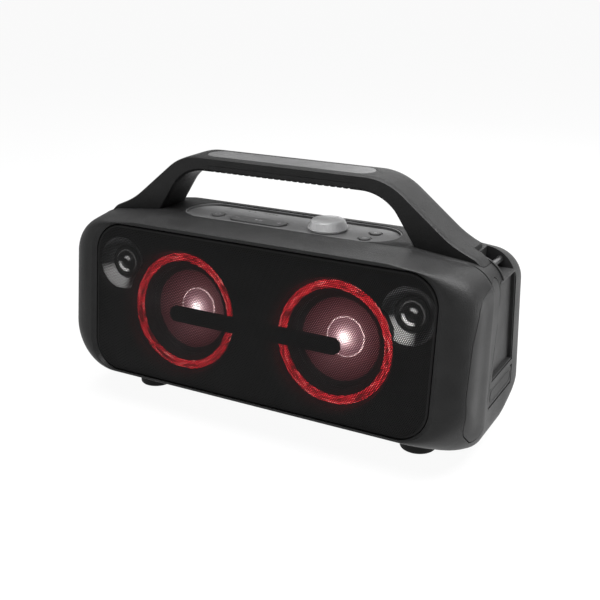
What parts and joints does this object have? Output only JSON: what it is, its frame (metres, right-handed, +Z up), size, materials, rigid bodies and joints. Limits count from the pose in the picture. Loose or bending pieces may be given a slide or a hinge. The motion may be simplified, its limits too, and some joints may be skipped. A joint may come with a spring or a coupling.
{
  "type": "party speaker",
  "caption": "Portable party speaker: wide cabinet with lit woofers and tweeters behind a perforated grille, top control panel with knob, side socket flap and fixed carrying handle.",
  "frame": {"origin": "on the ground, under the centre of the cabinet", "axes": "+X to the listener's right along the cabinet, +Y to the back, +Z up"},
  "size_m": [0.423, 0.173, 0.2449],
  "materials": {
    "shell": "fine-grained satin black moulded plastic",
    "trim": "fine-grained black moulded plastic",
    "pad": "soft-touch black, fine grain",
    "flap": "matt black rubber",
    "foot_rubber": "matt black rubber",
    "grip_rubber": "ribbed matt black rubber",
    "handle_plate": "satin dark grey",
    "steel": "zinc plated steel",
    "magnet": "black ferrite and plated steel",
    "grille_metal": "black powder-coated perforated steel",
    "bar": "matt black",
    "baffle": "matt black moulded plastic",
    "light": "glowing translucent light guide, red when lit",
    "board": "green circuit board",
    "basket": "black pressed steel",
    "surround": "black butyl rubber",
    "cone": "coated paper, lit by the ring",
    "dust_cap": "satin dome",
    "coil": "copper winding on a former",
    "spider": "resin-dipped cloth",
    "bowl": "satin silver paint",
    "dome": "coated silk",
    "tweeter_frame": "black plastic",
    "panel": "satin mid grey",
    "button": "matt grey rubber",
    "knob": "satin grey",
    "brass": "turned",
    "encoder": "tinned housing",
    "indicator": "smoked light pipe",
    "socket": "black",
    "battery": "blue shrink sleeve"
  },
  "bodies": {
    "cabinet": {"amplifier_board": "board", "aux_socket": "socket", "baffle": "baffle", "bass_port": "baffle", "battery_bracket": "trim", "battery_pack": "battery", "button_board": "board", "centre_bar": "bar", "control_panel": "panel", "feet": "foot_rubber", "front_shell": "shell", "grille": "grille_metal", "handle_front_half": "shell", "handle_grip": "grip_rubber", "handle_rear_half": "shell", "handle_top_plate": "handle_plate", "indicator_lights": "indicator", "knob_encoder": "encoder", "light_boards": "board", "light_ring_left": "light", "light_ring_right": "light", "port_bay": "trim", "rear_shell": "shell", "shell_screws": "steel", "side_pad_left": "pad", "side_pad_right": "pad", "side_panel_left": "trim", "side_panel_right": "trim", "strap_bars": "steel", "strap_wells": "trim", "tweeter_bowl_left": "bowl", "tweeter_bowl_right": "bowl", "tweeter_dome_left": "dome", "tweeter_dome_right": "dome", "tweeter_frames": "tweeter_frame", "usb_socket": "steel", "woofer_basket_left": "basket", "woofer_basket_right": "basket", "woofer_magnet_left": "magnet", "woofer_magnet_right": "magnet", "woofer_spider_left": "spider", "woofer_spider_right": "spider", "woofer_surround_left": "surround", "woofer_surround_right": "surround"},
    "power_button": {"power_button": "button"},
    "transport_button": {"transport_button": "button"},
    "mode_button": {"mode_button": "button"},
    "light_button": {"light_button": "button"},
    "knob": {"knob": "knob", "knob_shaft": "brass"},
    "port_cover": {"port_cover": "flap"},
    "cone_left": {"woofer_cone_left": "cone", "dust_cap_left": "dust_cap", "voice_coil_left": "coil"},
    "cone_right": {"woofer_cone_right": "cone", "dust_cap_right": "dust_cap", "voice_coil_right": "coil"}
  },
  "joints": [
    {"name": "power_button_press", "type": "slide", "parent": "cabinet", "child": "power_button", "axis": [0, 0, -1], "range_m": [0, 0.0008], "stiffness_N_per_m": 900},
    {"name": "transport_button_press", "type": "slide", "parent": "cabinet", "child": "transport_button", "axis": [0, 0, -1], "range_m": [0, 0.0008], "stiffness_N_per_m": 900},
    {"name": "mode_button_press", "type": "slide", "parent": "cabinet", "child": "mode_button", "axis": [0, 0, -1], "range_m": [0, 0.0008], "stiffness_N_per_m": 900},
    {"name": "light_button_press", "type": "slide", "parent": "cabinet", "child": "light_button", "axis": [0, 0, -1], "range_m": [0, 0.0008], "stiffness_N_per_m": 900},
    {"name": "knob_turn", "type": "hinge", "parent": "cabinet", "child": "knob", "pos_m": [0.041, 0, 0.19], "axis": [0, 0, 1], "continuous": true},
    {"name": "port_cover_open", "type": "hinge", "parent": "cabinet", "child": "port_cover", "pos_m": [0.2084, 0.0125, 0.0521], "axis": [0, 1, 0], "range_deg": [0, 95]},
    {"name": "cone_left_travel", "type": "slide", "parent": "cabinet", "child": "cone_left", "axis": [0, -0.9928, 0.1198], "range_m": [-0.003, 0.003], "stiffness_N_per_m": 1200, "deforming": ["woofer_surround_left", "woofer_spider_left"]},
    {"name": "cone_right_travel", "type": "slide", "parent": "cabinet", "child": "cone_right", "axis": [0, -0.9928, 0.1198], "range_m": [-0.003, 0.003], "stiffness_N_per_m": 1200, "deforming": ["woofer_surround_right", "woofer_spider_right"]}
  ]
}
